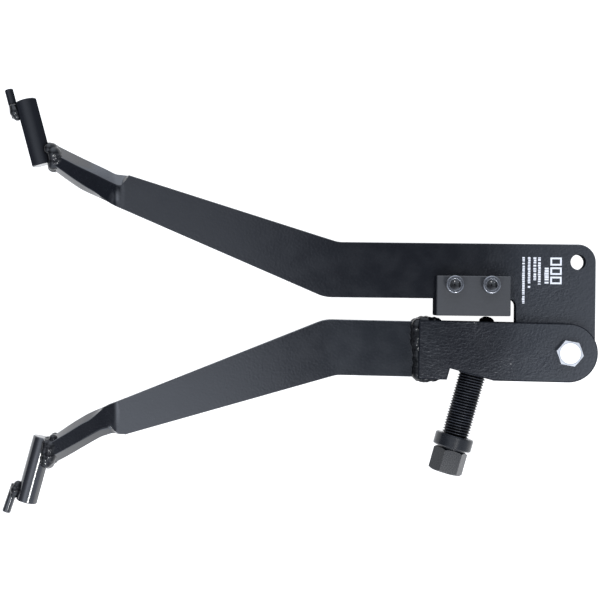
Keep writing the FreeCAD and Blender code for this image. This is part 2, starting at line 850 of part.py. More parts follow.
def block_screw(label, way):
    """A socket head cap screw, its head seated on the front of the block."""
    body = new_body(label)
    profile = sketch(body, "XZ_Plane")
    polygon(
        profile,
        [
            ("0", "-Size.screw_length"),
            ("Size.screw_radius - Size.screw_chamfer", "-Size.screw_length"),
            ("Size.screw_radius", "-Size.screw_length + Size.screw_chamfer"),
            ("Size.screw_radius", "0"),
            ("Size.screw_head_radius", "0"),
            ("Size.screw_head_radius", "Size.screw_head_height - Size.screw_chamfer"),
            ("Size.screw_head_radius - Size.screw_chamfer", "Size.screw_head_height"),
            ("0", "Size.screw_head_height"),
        ],
    )
    turned(body, "Revolution", profile)
    socket = sketch(body, "XY_Plane", raised("Size.screw_head_height"))
    hexagon(socket, "Size.screw_socket_flats", "Size.screw_socket_turn")
    feature(body, "Pocket", socket, Length="Size.screw_socket_depth")
    seat = f"vector({screw_x(way)}; Size.block_top - Size.screw_drop; Size.block_half_depth)"
    return finish(body, label, f"{UPPER_FRAME} * placement({seat}; rotation(vector(0; 0; 1); 0))")


def pivot_bolt():
    """A fit bolt: hexagon head at the front, plain shank through the clevis, thread at the rear."""
    body = new_body("pivot_bolt")
    head = sketch(body, "XY_Plane", raised(CLEVIS_FACE))
    hexagon(head, "Size.bolt_flats", "Size.bolt_turn")
    pad(body, head, "Size.bolt_head_height", middle=False)
    hex_chamfer(body, "Size.bolt_flats", f"({CLEVIS_FACE} + Size.bolt_head_height)", 1)
    shank = sketch(body, "XZ_Plane")
    tail = f"(-{CLEVIS_FACE} - Size.bolt_tail)"
    polygon(
        shank,
        [
            ("0", tail),
            ("Size.bolt_thread_radius - Size.bolt_end_chamfer", tail),
            ("Size.bolt_thread_radius", f"{tail} + Size.bolt_end_chamfer"),
            ("Size.bolt_thread_radius", f"-{CLEVIS_FACE}"),
            ("Size.pivot_radius", f"-{CLEVIS_FACE} + Size.bolt_step"),
            ("Size.pivot_radius", CLEVIS_FACE),
            ("0", CLEVIS_FACE),
        ],
    )
    turned(body, "Revolution", shank)
    return finish(body, "pivot_bolt", LOWER_FRAME)


def pivot_washer():
    body = new_body("pivot_washer")
    ring = sketch(body, "XY_Plane", raised(f"-{CLEVIS_FACE}"))
    circle(ring, "0", "0", "Size.washer_radius")
    circle(ring, "0", "0", "Size.bolt_thread_radius + Size.washer_clearance")
    pad(body, ring, "Size.washer_thickness", middle=False, backwards=True)
    return finish(body, "pivot_washer", LOWER_FRAME)


def pivot_nut():
    body = new_body("pivot_nut")
    seat = f"(-{CLEVIS_FACE} - Size.washer_thickness)"
    ring = sketch(body, "XY_Plane", raised(seat))
    hexagon(ring, "Size.bolt_flats", "Size.nut_turn")
    circle(ring, "0", "0", "Size.bolt_thread_radius + Size.nut_clearance")
    pad(body, ring, "Size.nut_height", middle=False, backwards=True)
    hex_chamfer(body, "Size.bolt_flats", f"({seat} - Size.nut_height)", -1)
    return finish(body, "pivot_nut", LOWER_FRAME)


# ---------------------------------------------------------------- assembly

sheet.set("A200", "heel_reach")
sheet.set("B200", "=sqrt(heel_left ^ 2 + heel_knee ^ 2)")
sheet.setAlias("B200", "heel_reach")
doc.recompute()

arms = {UPPER: upper_arm(), LOWER: lower_arm()}
clevis_spacer()
for cheek_label, cheek_way in (("front_cheek", 1), ("rear_cheek", -1)):
    cheek(cheek_label, cheek_way)
    cheek_bead(f"{cheek_label}_weld", cheek_way)
edge_lump("clevis_upper_weld", 1)
edge_lump("clevis_lower_weld", -1)
for arm_side, arm_piece in arms.items():
    tip_welds(arm_side, arm_piece, tip_bar(arm_side), tip_pin(arm_side))
spindle()
thrust_piece()
pressure_block()
for screw_label, screw_way in (("block_screw_left", -1), ("block_screw_right", 1)):
    block_screw(screw_label, screw_way)
pivot_bolt()
pivot_washer()
pivot_nut()

doc.recompute()
for item in doc.Objects:
    if {"Invalid", "Error"} & set(item.State):
        raise RuntimeError(f"{item.Name} ({item.Label}) failed: {item.State}")
box = FreeCAD.BoundBox()
for item in nodes:
    if item.Shape.isNull() or not item.Shape.isValid():
        raise RuntimeError(f"{item.Label} has no valid shape")
    print(item.Label, len(item.Shape.Solids), round(item.Shape.Volume))
    box.add(item.Shape.BoundBox)
print(box)

os.makedirs("parts", exist_ok=True)
for item in nodes:
    item.Shape.exportStep(f"parts/{item.Label}.step")
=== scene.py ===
import json
import math
import random

import bmesh
import bpy
from mathutils import Matrix, Vector


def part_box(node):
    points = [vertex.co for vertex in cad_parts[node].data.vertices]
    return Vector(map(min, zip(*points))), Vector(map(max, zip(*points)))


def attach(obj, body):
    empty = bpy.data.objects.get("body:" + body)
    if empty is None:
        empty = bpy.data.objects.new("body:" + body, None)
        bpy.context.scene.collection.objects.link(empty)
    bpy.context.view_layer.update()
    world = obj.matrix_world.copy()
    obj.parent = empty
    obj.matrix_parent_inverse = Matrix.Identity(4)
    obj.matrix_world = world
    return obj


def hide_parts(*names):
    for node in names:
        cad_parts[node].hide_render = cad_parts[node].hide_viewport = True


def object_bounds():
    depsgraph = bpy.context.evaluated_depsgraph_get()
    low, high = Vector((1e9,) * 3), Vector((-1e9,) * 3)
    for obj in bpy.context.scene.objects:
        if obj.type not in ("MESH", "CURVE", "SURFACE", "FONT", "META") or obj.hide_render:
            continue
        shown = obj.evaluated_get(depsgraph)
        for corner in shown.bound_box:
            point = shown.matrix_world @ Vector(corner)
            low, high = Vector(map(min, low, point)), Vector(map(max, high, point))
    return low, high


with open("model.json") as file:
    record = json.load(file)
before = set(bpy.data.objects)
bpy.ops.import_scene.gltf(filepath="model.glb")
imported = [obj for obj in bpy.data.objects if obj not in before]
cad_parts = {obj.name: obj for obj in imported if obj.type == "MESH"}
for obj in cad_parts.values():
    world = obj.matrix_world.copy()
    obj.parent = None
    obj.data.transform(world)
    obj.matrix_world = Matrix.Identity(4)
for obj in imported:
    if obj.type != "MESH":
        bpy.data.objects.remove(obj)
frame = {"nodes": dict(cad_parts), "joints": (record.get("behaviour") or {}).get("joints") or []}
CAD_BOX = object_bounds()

# The looks of the ball joint separator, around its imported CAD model. Metres, in the CAD's own frame.

MM = 0.001
RIGHT_END = CAD_BOX[1].x
JOINTS = {joint["name"]: joint for joint in frame["joints"]}
PIVOT = Vector(JOINTS["arm_open"]["pos_m"])
# the spindle's collar ends here, along its axis from the point that its joint states
COLLAR_END = -39.3 * MM
THREAD_ROOT = 8.77 * MM
THREAD_CREST = 10.0 * MM
THREAD_PITCH = 2.0 * MM
# and the CAD's thread starts here
THREAD_START = -33.0 * MM
BOLT_FACE_RADIUS = 7.45 * MM

# ---------------------------------------------------------------- camera, floor and light

# straight above the tool's middle, a metre over the arms' middle plane
CAMERA_HEIGHT = 1.0
CAMERA_ASIDE = Vector((1.18, 0.45)) * MM
CAMERA_LENS = 82.75
MIDDLE_PLANE = (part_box("upper_arm")[0].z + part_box("upper_arm")[1].z) / 2


def add_camera():
    data = bpy.data.cameras.new("camera")
    data.lens = CAMERA_LENS
    camera = bpy.data.objects.new("camera", data)
    bpy.context.scene.collection.objects.link(camera)
    camera.location = (*CAMERA_ASIDE, MIDDLE_PLANE + CAMERA_HEIGHT)
    bpy.context.scene.camera = camera


class Nodes:
    """Short calls for the shader nodes that the finishes and the surroundings share."""

    def __init__(self, tree):
        self.tree = tree

    def add(self, kind, **settings):
        item = self.tree.nodes.new("ShaderNode" + kind)
        for name, value in settings.items():
            setattr(item, name, value)
        return item

    def feed(self, socket, value):
        """Link an output into a socket, or set the socket's own value."""
        if isinstance(value, bpy.types.NodeSocket):
            self.tree.links.new(value, socket)
        else:
            socket.default_value = value

    def math(self, operation, *values):
        item = self.add("Math", operation=operation)
        for socket, value in zip(item.inputs, values):
            self.feed(socket, value)
        return item.outputs[0]

    def remap(self, value, low, high, to_low=0.0, to_high=1.0):
        """A smooth step: the first level up to low, the second one from high on."""
        item = self.add("MapRange", interpolation_type="SMOOTHSTEP")
        for name, number in (
            ("Value", value),
            ("From Min", low),
            ("From Max", high),
            ("To Min", to_low),
            ("To Max", to_high),
        ):
            self.feed(item.inputs[name], number)
        return item.outputs["Result"]

    def mix(self, share, first, second):
        """The first colour at share 0, the second one at share 1."""
        item = self.add("Mix", data_type="RGBA")
        self.feed(item.inputs[0], share)
        self.feed(item.inputs[6], (*first, 1.0) if isinstance(first, tuple) else first)
        self.feed(item.inputs[7], (*second, 1.0) if isinstance(second, tuple) else second)
        return item.outputs[2]

    def tint(self, first, second):
        """The product of two colours."""
        item = self.add("Mix", data_type="RGBA", blend_type="MULTIPLY")
        item.inputs[0].default_value = 1.0
        self.feed(item.inputs[6], first)
        self.feed(item.inputs[7], (*second, 1.0) if isinstance(second, tuple) else second)
        return item.outputs[2]

    def ramp(self, value, stops):
        """Colours or grey levels at positions from 0 to 1."""
        item = self.add("ValToRGB")
        elements = item.color_ramp.elements
        while len(elements) < len(stops):
            elements.new(0.5)
        for element, (position, level) in zip(elements, stops):
            element.position = position
            colour = level if isinstance(level, tuple) else (level,) * 3
            element.color = (*colour, 1.0)
        self.feed(item.inputs["Fac"], value)
        return item.outputs["Color"]


# the surroundings as levels of light by direction: the stops of each ramp are (share, level)
STUDIO_STRENGTH = 3.2
STUDIO_TINT = (0.84, 0.91, 1.04)
# under the horizon the surroundings are a plain grey
HORIZON = -0.02
FLOOR_GLOW = 0.31
# the stand's middle and its reach, right and back, and the multiple of that reach where its ramp ends
STAND_TOWARDS = (0.084, 0.009)
STAND_REACH = (0.09, 0.13)
STAND_RAMP_END = 8.0
STAND_LEVELS = [
    (0.0, 0.03),
    (0.0625, 0.045),
    (0.1, 0.10),
    (0.134, 0.15),
    (0.1625, 0.30),
    (0.1875, 0.375),
    (0.29, 0.45),
    (0.6, 0.60),
    (1.0, 0.70),
]
SIDE_LEVELS = [(0.0, 0.2), (0.1, 0.35), (0.25, 1.0), (0.58, 1.0), (0.68, 0.5), (0.85, 0.4), (1.0, 0.7)]
BACK_LEVELS = [
    (0.0, 0.8),
    (0.40, 1.0),
    (0.45, 1.0),
    (0.5, 0.63),
    (0.533, 0.38),
    (0.65, 0.38),
    (0.85, 0.95),
    (1.0, 1.0),
]


def surround():
    """The studio round the tool: pale all round, with the dark of the camera's stand just off overhead."""
    world = bpy.data.worlds.new("studio")
    world.use_nodes = True
    bpy.context.scene.world = world
    nodes = Nodes(world.node_tree)
    direction = nodes.add("TexCoord").outputs["Generated"]
    split = nodes.add("SeparateXYZ")
    nodes.feed(split.inputs[0], direction)
    right = nodes.math("SUBTRACT", split.outputs["X"], STAND_TOWARDS[0])
    back = nodes.math("SUBTRACT", split.outputs["Y"], STAND_TOWARDS[1])
    across = nodes.math("POWER", nodes.math("DIVIDE", right, STAND_REACH[0]), 2.0)
    along = nodes.math("POWER", nodes.math("DIVIDE", back, STAND_REACH[1]), 2.0)
    reach = nodes.math("SQRT", nodes.math("ADD", across, along))
    level = nodes.ramp(nodes.math("DIVIDE", reach, STAND_RAMP_END), STAND_LEVELS)
    # from -1 to 1 along each of the two directions, as a share from 0 to 1
    for part, stops in ((right, SIDE_LEVELS), (back, BACK_LEVELS)):
        share = nodes.math("ADD", nodes.math("MULTIPLY", part, 0.5), 0.5)
        level = nodes.tint(level, nodes.ramp(share, stops))
    glow = nodes.tint(level, STUDIO_TINT)
    below = nodes.math("LESS_THAN", split.outputs["Z"], HORIZON)
    seen = nodes.mix(below, glow, (FLOOR_GLOW,) * 3)
    background = world.node_tree.nodes["Background"]
    nodes.feed(background.inputs["Color"], seen)
    background.inputs["Strength"].default_value = STUDIO_STRENGTH


# place, aim, width, height and watts
LAMPS = {
    "right_glint": ((0.278, -0.462, 1.08), (-0.19, -0.12, 0.03), 0.17, 0.20, 3.5),
    "front_glint": ((-0.31, -0.56, 1.01), (0.12, 0.01, 0.042), 0.08, 0.08, 2.4),
}


def softbox(name, place, aim, width, height, watts):
    data = bpy.data.lights.new(name, "AREA")
    data.shape = "RECTANGLE"
    data.size = width
    data.size_y = height
    data.energy = watts
    lamp = bpy.data.objects.new(name, data)
    bpy.context.scene.collection.objects.link(lamp)
    lamp.location = place
    lamp.rotation_mode = "QUATERNION"
    lamp.rotation_quaternion = (Vector(aim) - Vector(place)).to_track_quat("-Z", "Y")


FLOOR_HALF_SIDE = 6.0
FLOOR_GREY = (0.4, 0.4, 0.4, 1.0)
FLOOR_ROUGHNESS = 0.9
FLOOR_EMISSION = 0.95


def add_floor():
    half = FLOOR_HALF_SIDE
    corners = [(-half, -half, 0.0), (half, -half, 0.0), (half, half, 0.0), (-half, half, 0.0)]
    mesh = bpy.data.meshes.new("floor")
    mesh.from_pydata(corners, [], [(0, 1, 2, 3)])
    floor = bpy.data.objects.new("floor", mesh)
    bpy.context.scene.collection.objects.link(floor)
    material = bpy.data.materials.new("floor_white")
    material.use_nodes = True
    shader = material.node_tree.nodes["Principled BSDF"]
    shader.inputs["Base Color"].default_value = FLOOR_GREY
    shader.inputs["Roughness"].default_value = FLOOR_ROUGHNESS
    shader.inputs["Emission Color"].default_value = (1.0, 1.0, 1.0, 1.0)
    shader.inputs["Emission Strength"].default_value = FLOOR_EMISSION
    mesh.materials.append(material)


# ---------------------------------------------------------------- finishes


# a noise's levels seldom lie outside these
NOISE_SPAN = (0.3, 0.7)


class Finish(Nodes):
    """One procedural material on a Principled shader."""

    def __init__(self, name, **constants):
        self.material = bpy.data.materials.new(name)
        self.material.use_nodes = True
        super().__init__(self.material.node_tree)
        self.surface = self.tree.nodes["Principled BSDF"]
        for socket, value in constants.items():
            self.surface.inputs[socket.replace("_", " ")].default_value = value
        self.place = self.add("TexCoord").outputs["Object"]

    def stretched(self, scale):
        """The place, with its axes scaled: a vector of three cycles-per-metre numbers."""
        item = self.add("Mapping")
        self.feed(item.inputs["Vector"], self.place)
        item.inputs["Scale"].default_value = scale
        return item.outputs["Vector"]

    def noise(self, scale, detail=3.0, roughness=0.5, distortion=0.0):
        """Noise from 0 to 1. The scale is in cycles per metre: one number, or one for each axis."""
        item = self.add("TexNoise")
        stretch = scale if isinstance(scale, tuple) else (scale,) * 3
        self.feed(item.inputs["Vector"], self.stretched(stretch))
        item.inputs["Scale"].default_value = 1.0
        item.inputs["Detail"].default_value = detail
        item.inputs["Roughness"].default_value = roughness
        item.inputs["Distortion"].default_value = distortion
        return item.outputs["Fac"]

    def mottled(self, scale, low, high, detail=3.0):
        """Noise spread over the levels from low to high."""
        return self.remap(self.noise(scale, detail), *NOISE_SPAN, low, high)

    def colour(self, value):
        self.feed(self.surface.inputs["Base Color"], value)

    def roughness(self, value):
        self.feed(self.surface.inputs["Roughness"], value)

    def specular(self, value):
        self.feed(self.surface.inputs["Specular IOR Level"], value)

    def facing(self, axis):
        """How far the surface faces along an axis of the object's own frame, either way: 0 to 1."""
        turned = self.add("VectorTransform", vector_type="NORMAL", convert_from="WORLD", convert_to="OBJECT")
        self.feed(turned.inputs[0], self.add("NewGeometry").outputs["Normal"])
        split = self.add("SeparateXYZ")
        self.feed(split.inputs[0], turned.outputs[0])
        return self.math("ABSOLUTE", split.outputs[axis])

    def from_point(self, point):
        item = self.add("VectorMath", operation="SUBTRACT")
        self.feed(item.inputs[0], self.place)
        item.inputs[1].default_value = point
        return item.outputs[0]

    def along(self, point, axis):
        """The place's distance past a point along an axis."""
        item = self.add("VectorMath", operation="DOT_PRODUCT")
        self.feed(item.inputs[0], self.from_point(point))
        item.inputs[1].default_value = axis
        return item.outputs["Value"]

    def radius(self, point, axis):
        """The place's distance from an axis through a point."""
        item = self.add("VectorMath", operation="CROSS_PRODUCT")
        self.feed(item.inputs[0], self.from_point(point))
        item.inputs[1].default_value = axis
        length = self.add("VectorMath", operation="LENGTH")
        self.feed(length.inputs[0], item.outputs[0])
        return length.outputs["Value"]

    def wall(self, low, high):
        """1 on a surface that faces aside, 0 on one that looks up or down, with the step between these."""
        return self.remap(self.facing("Z"), low, high, 1.0, 0.0)

    def along_x(self):
        split = self.add("SeparateXYZ")
        self.feed(split.inputs[0], self.place)
        return split.outputs["X"]

    def relief(self, height, depth):
        """Bump of this depth in metres for a height that runs from 0 to 1."""
        item = self.add("Bump")
        item.inputs["Strength"].default_value = 1.0
        item.inputs["Distance"].default_value = depth
        self.feed(item.inputs["Height"], height)
        self.feed(self.surface.inputs["Normal"], item.outputs["Normal"])


PAINT_DARK = (0.0055, 0.0062, 0.0085)
PAINT_LIGHT = (0.0072, 0.0080, 0.0108)
PAINT_WALL = (0.0125, 0.0135, 0.0165)
PAINT_SPECK = (0.05, 0.054, 0.06)
SPECK_SHARE = 0.55
SPECK_LEVELS = (0.66, 0.78)
DEEP_BLACK = (0.0015, 0.0015, 0.002)
# painted light, paler towards the box's right end: where it sets in and is full, as shares of the way to that
# end, and its colour there
HEEL_PAINTED_LIGHT = (0.6, 0.8, (0.0188, 0.0211, 0.0257))
ELBOW_PAINTED_LIGHT = (0.04, 0.15, (0.0115, 0.0131, 0.0162))
# how squarely a bar's end faces along Y, and a shank's front along Z: where each sets in and is full
BAR_END_FACING = (0.7, 0.9)
FRONT_FACING = (0.93, 0.97)
# what a wall adds to the roughness
WALL_ROUGHNESS = 0.5
# the forged shanks lie to the left of this, and their finish sets in over this width
SHANK_LEFT_OF = -0.1305
SHANK_CHANGE = 2.0 * MM
SHANK_DULLNESS = 0.70


def paint(
    name,
    peel_depth,
    wrinkle_depth=0.0,
    wrinkle_levels=(),
    matt=(0.12, 0.3),
    bright_ends=False,
    painted_light_over=HEEL_PAINTED_LIGHT,
):
    """Semi-gloss black paint: orange peel, wrinkles, painted light that turns it paler by place along X, and
    matt where it faces aside.

    The depths are in millimetres. The levels in matt say how squarely a face looks up where it is matt, and
    where it is glossy. With bright_ends, a bar's ends keep their gloss. Without, a shank's front is dull.
    """
    finish = Finish(name)
    wall = finish.wall(*matt)
    if bright_ends:
        wall = finish.math("MULTIPLY", wall, finish.remap(finish.facing("Y"), *BAR_END_FACING, 1.0, 0.0))
    cloud = finish.noise(38.0, detail=4.0)
    tone = finish.mix(cloud, PAINT_DARK, PAINT_LIGHT)
    specks = finish.remap(finish.noise(1500.0, detail=2.0), *SPECK_LEVELS)
    place = finish.math("DIVIDE", finish.along_x(), RIGHT_END)
    # painted light: the paint's tone grows paler towards the box's right end, standing in for the brighter
    # light there
    sets_in, full, painted_light_colour = painted_light_over
    tone_with_painted_light = finish.mix(finish.remap(place, sets_in, full), tone, painted_light_colour)
    paler = finish.mix(wall, tone_with_painted_light, PAINT_WALL)
    finish.colour(finish.mix(finish.math("MULTIPLY", specks, SPECK_SHARE), paler, PAINT_SPECK))
    gloss = finish.mottled(85.0, 0.10, 0.15, detail=5.0)
    finish.roughness(finish.math("MULTIPLY_ADD", wall, WALL_ROUGHNESS, gloss))
    glossy = finish.math("SUBTRACT", 1.0, wall)
    if not bright_ends:
        front = finish.remap(finish.facing("Z"), *FRONT_FACING)
        shank = finish.remap(finish.along_x(), SHANK_LEFT_OF - SHANK_CHANGE, SHANK_LEFT_OF, 1.0, 0.0)
        dull = finish.math("MULTIPLY", finish.math("MULTIPLY", front, shank), SHANK_DULLNESS)
        glossy = finish.math("MULTIPLY", glossy, finish.math("SUBTRACT", 1.0, dull))
    finish.specular(glossy)
    peel = finish.noise(620.0)
    height = finish.math("MULTIPLY", peel, peel_depth)
    if wrinkle_depth:
        wrinkle = finish.noise((320.0, 610.0, 400.0), roughness=0.55, distortion=0.8)
        patch = finish.remap(finish.noise(26.0, detail=1.0), 0.3, 0.6, 0.45, 1.0)
        patch = finish.math("MULTIPLY", patch, finish.ramp(place, wrinkle_levels))
        wrinkles = finish.math("MULTIPLY", finish.math("MULTIPLY", wrinkle, patch), wrinkle_depth)
        height = finish.math("ADD", height, wrinkles)
    finish.relief(height, MM)
    return finish.material


def satin_block():
    """Satin dark grey of the sawn and blackened block, duller on its walls."""
    finish = Finish("block_satin")
    wall = finish.wall(0.1, 0.4)
    grain = finish.noise((120.0, 900.0, 900.0), detail=4.0)
    top = finish.mix(grain, (0.011, 0.012, 0.015), (0.017, 0.0185, 0.022))
    finish.colour(finish.mix(wall, top, PAINT_WALL))
    finish.specular(finish.remap(wall, 0.0, 1.0, 0.7, 0.0))
    finish.roughness(finish.mottled(260.0, 0.42, 0.55))
    finish.relief(finish.noise(1500.0), 0.02 * MM)
    return finish.material


def weld_black(name, gloss):
    finish = Finish(name, Specular_IOR_Level=gloss)
    finish.colour(finish.mix(finish.noise(400.0), DEEP_BLACK, (0.005, 0.0055, 0.0065)))
    finish.roughness(finish.mottled(600.0, 0.08, 0.18))
    finish.relief(finish.noise(700.0), 0.09 * MM)
    return finish.material


# specular levels: on the collar and the hexagon, in the thread's root and on its crest
COLLAR_SPECULAR = 0.38
ROOT_SPECULAR = 0.04
CREST_SPECULAR = 0.6
# the thread's black sets in over this length, and its crest is worn from this far outside the root
THREAD_FADE = 0.4 * MM
WORN_FROM = 0.3 * MM


def oxide():
    """Black oxide on machined steel: satin on the spindle's collar and hexagon, blacker in its thread."""
    finish = Finish("black_oxide")
    spin = JOINTS["spindle_spin"]
    past_collar = finish.along(spin["pos_m"], spin["axis"])
    thread = finish.remap(past_collar, COLLAR_END - THREAD_FADE, COLLAR_END)
    steel = finish.mix(finish.noise(300.0), (0.005, 0.006, 0.008), (0.010, 0.011, 0.014))
    from_axis = finish.radius(spin["pos_m"], spin["axis"])
    crest = finish.remap(from_axis, THREAD_ROOT + WORN_FROM, THREAD_CREST)
    worn = finish.math("MULTIPLY", crest, finish.remap(finish.noise(160.0), 0.35, 0.65, 0.5, 1.0))
    finish.colour(finish.mix(thread, steel, finish.mix(worn, DEEP_BLACK, (0.038, 0.041, 0.050))))
    in_thread = finish.mix(crest, (ROOT_SPECULAR,) * 3, (CREST_SPECULAR,) * 3)
    finish.specular(finish.mix(thread, (COLLAR_SPECULAR,) * 3, in_thread))
    finish.roughness(finish.mottled(900.0, 0.22, 0.34))
    finish.relief(finish.noise(2500.0, detail=2.0), 0.004 * MM)
    return finish.material


def socket_painted_shade():
    """Painted shade inside a cap screw's socket and its countersink: a glossy near black in place of the
    screw's steel.
    """
    finish = Finish("socket_painted_shade", Specular_IOR_Level=0.6)
    finish.colour(finish.mix(finish.noise(800.0), DEEP_BLACK, (0.004, 0.004, 0.005)))
    finish.roughness(finish.mottled(900.0, 0.05, 0.08))
    return finish.material


def screw_steel():
    """Polished black oxide of the cap screws."""
    finish = Finish("screw_steel", Metallic=0.9)
    finish.colour(finish.mix(finish.noise(500.0), (0.15, 0.155, 0.17), (0.22, 0.225, 0.24)))
    finish.roughness(finish.mottled(900.0, 0.16, 0.24))
    finish.relief(finish.noise(1800.0, detail=2.0), 0.006 * MM)
    return finish.material


# the bolt's turned face: how sharp its edge is, how far outside it the ring of painted shade runs, and that
# ring's half widths where it is full and where it ends
FACE_EDGE = 0.1 * MM
SHADE_RING_OUTSIDE = 0.25 * MM
SHADE_RING_HALVES = (0.15 * MM, 0.4 * MM)


def zinc():
    """Bright zinc plating: a near-white turned face, partly the zinc's own pale colour and partly painted
    reflection, with painted shade: greyer on the chamfer outside it, a dark ring there, and darker sides.
    """
    finish = Finish("bright_zinc")
    from_axis = finish.radius(PIVOT, JOINTS["arm_open"]["axis"])
    outside = finish.remap(from_axis, BOLT_FACE_RADIUS - FACE_EDGE, BOLT_FACE_RADIUS + FACE_EDGE)
    # painted shade: a dark ring just outside the face, and a greyer chamfer beyond it
    shade_ring_offset = finish.math("SUBTRACT", from_axis, BOLT_FACE_RADIUS + SHADE_RING_OUTSIDE)
    ring = finish.remap(finish.math("ABSOLUTE", shade_ring_offset), *SHADE_RING_HALVES, 1.0, 0.0)
    face = finish.mix(finish.noise(500.0), (0.90, 0.90, 0.91), (0.97, 0.97, 0.97))
    chamfer = finish.mix(finish.noise((300.0, 900.0, 500.0)), (0.42, 0.43, 0.45), (0.66, 0.67, 0.69))
    flat = finish.mix(ring, finish.mix(outside, face, chamfer), (0.34, 0.35, 0.37))
    # painted shade: the sides darker than the face
    wall = finish.wall(0.3, 0.7)
    finish.colour(finish.mix(wall, flat, (0.16, 0.17, 0.19)))
    finish.feed(finish.surface.inputs["Metallic"], finish.math("MULTIPLY", wall, 0.8))
    finish.roughness(finish.mottled(700.0, 0.25, 0.38))
    finish.relief(finish.noise(2200.0), 0.01 * MM)
    return finish.material


def white_ink():
    finish = Finish("white_ink")
    finish.colour(finish.mix(finish.noise(1500.0), (0.62, 0.63, 0.66), (0.85, 0.85, 0.87)))
    finish.roughness(finish.mottled(900.0, 0.5, 0.7))
    return finish.material


FINISHES = {
    "upper_blade_paint": paint(
        "upper_blade_paint",
        peel_depth=0.035,
        wrinkle_depth=0.11,
        wrinkle_levels=[(0.0, 0.0), (0.55, 0.0), (0.8, 1.0), (1.0, 0.8)],
    ),
    "lower_blade_paint": paint("lower_blade_paint", peel_depth=0.035, painted_light_over=ELBOW_PAINTED_LIGHT),
    "plate_paint": paint(
        "plate_paint",
        peel_depth=0.045,
        wrinkle_depth=0.125,
        wrinkle_levels=[(0.0, 1.0), (0.40, 1.0), (0.65, 0.9), (0.85, 0.45), (1.0, 0.3)],
        matt=(0.75, 0.92),
    ),
    "upper_bar_paint": paint("upper_bar_paint", peel_depth=0.03, matt=(0.8, 1.3), bright_ends=True),
    "lower_bar_paint": paint("lower_bar_paint", peel_depth=0.03, matt=(0.1, 0.3), bright_ends=True),
    "block": satin_block(),
    "clevis_weld": weld_black("clevis_weld_black", gloss=0.28),
    "tip_weld": weld_black("tip_weld_black", gloss=0.45),
    "oxide": oxide(),
    "screw": screw_steel(),
    # the socket's finish is painted shade for the inside of the cap screws' sockets
    "socket": socket_painted_shade(),
    "zinc": zinc(),
    "ink": white_ink(),
}


def coat(piece, *finishes):
    if piece.data.materials:
        piece.data.materials.clear()
    for finish in finishes:
        piece.data.materials.append(FINISHES[finish])


# ---------------------------------------------------------------- meshes


def loft(shape, rings):
    """Join each ring of vertices to the next one. Gives the faces, row by row."""
    rows = []
    for before, after in zip(rings, rings[1:]):
        row = []
        for index in range(len(before)):
            following = (index + 1) % len(before)
            corners = (before[index], before[following], after[following], after[index])
            row.append(shape.faces.new(corners))
        rows.append(row)
    return rows


def finished(shape, name):
    mesh = bpy.data.meshes.new(name)
    shape.to_mesh(mesh)
    shape.free()
    return mesh


def link(name, mesh):
    piece = bpy.data.objects.new(name, mesh)
    bpy.context.scene.collection.objects.link(piece)
    return piece


# ---------------------------------------------------------------- arms


def curve(points):
    """A smooth line through (x, value) points, as a function of x."""
    slopes = []
    for index in range(len(points)):
        before = points[max(index - 1, 0)]
        after = points[min(index + 1, len(points) - 1)]
        slopes.append((after[1] - before[1]) / (after[0] - before[0]))

    def value(x):
        index = 0
        while index < len(points) - 2 and x > points[index + 1][0]:
            index += 1
        (x0, y0), (x1, y1) = points[index], points[index + 1]
        span = x1 - x0
        t = (x - x0) / span
        bend_start = (t**3 - 2 * t**2 + t) * span * slopes[index]
        bend_end = (t**3 - t**2) * span * slopes[index + 1]
        return (2 * t**3 - 3 * t**2 + 1) * y0 + bend_start + (3 * t**2 - 2 * t**3) * y1 + bend_end

    return value


class Arm:
    """An arm's own frame, in millimetres: x from the pivot towards the tip, out from the arm's line."""

    def __init__(self, node, body, tilt, lift, side, half_thickness, bend, step, edges, dents):
        self.node = node
        self.body = body
        self.frame = Matrix.Translation(PIVOT) @ Matrix.Rotation(math.radians(tilt), 4, "Z")
        self.lift = lift
        self.side = side
        self.half_thickness = half_thickness
        self.bend = bend
        self.step = step
        self.edges = [curve(points) for points in edges]
        self.dents = dents

    def point(self, x, out, height):
        return self.frame @ (Vector((-x, self.side * (self.lift + out), height)) * MM)


# where the flat blade ends and the forged shank starts and ends
BLADE_END = 316.9
SHANK_END = 370.6
SHANK_STEPS = 68
# how fast the shank's flat front rises past the bend
FRONT_RISE = 0.096
FACE_STEPS = 12
BEVEL_STEPS = 3
# the shank's corners are cut off by this
CORNER_ROUND = 0.35
# the hammered step's ramp is never shorter than this share of its reach
LEAST_RAMP = 0.1
MERGE_GAP = 0.001 * MM
BLADE_SHARP_ANGLE = math.radians(20.0)
# a face that looks up or down as squarely as this is one of the blade's flats
FLAT_FACING = 0.99999

# step: the hammered ramp that ends at the bend, as its reach, depth, middle and half length
# edges: from the inner one to the outer one; a dent is its middle's x and out, its half sizes and depth
UPPER = Arm(
    "upper_arm",
    body="upper_arm",
    tilt=-0.6,
    lift=58.2,
    side=1,
    half_thickness=4.85,
    bend=322.0,
    step=(2.4, 0.28, 52.0, 13.0),
    edges=[
        [
            (316.9, 40.3),
            (327.2, 44.65),
            (334.2, 48.4),
            (341.2, 51.4),
            (351.7, 56.2),
            (362.1, 63.0),
            (370.6, 69.1),
        ],
        [
            (316.9, 40.3),
            (327.2, 44.65),
            (330.5, 46.4),
            (334.1, 48.9),
            (340.2, 53.4),
            (347.1, 57.4),
            (357.4, 64.1),
            (364.6, 69.2),
            (370.6, 73.2),
        ],
        [
            (316.9, 66.3),
            (319.1, 62.7),
            (322.3, 59.6),
            (324.6, 59.5),
            (330.1, 61.8),
            (340.4, 66.8),
            (354.1, 73.1),
            (364, 78.1),
            (370.6, 81.1),
        ],
        [(316.9, 66.7), (322, 67.3), (326.8, 68), (334.4, 71.6), (348.4, 78), (362.3, 84.6), (370.6, 88.7)],
    ],
    dents=[(326.6, 46.5, 2.6, 6.5, 0.9)],
)
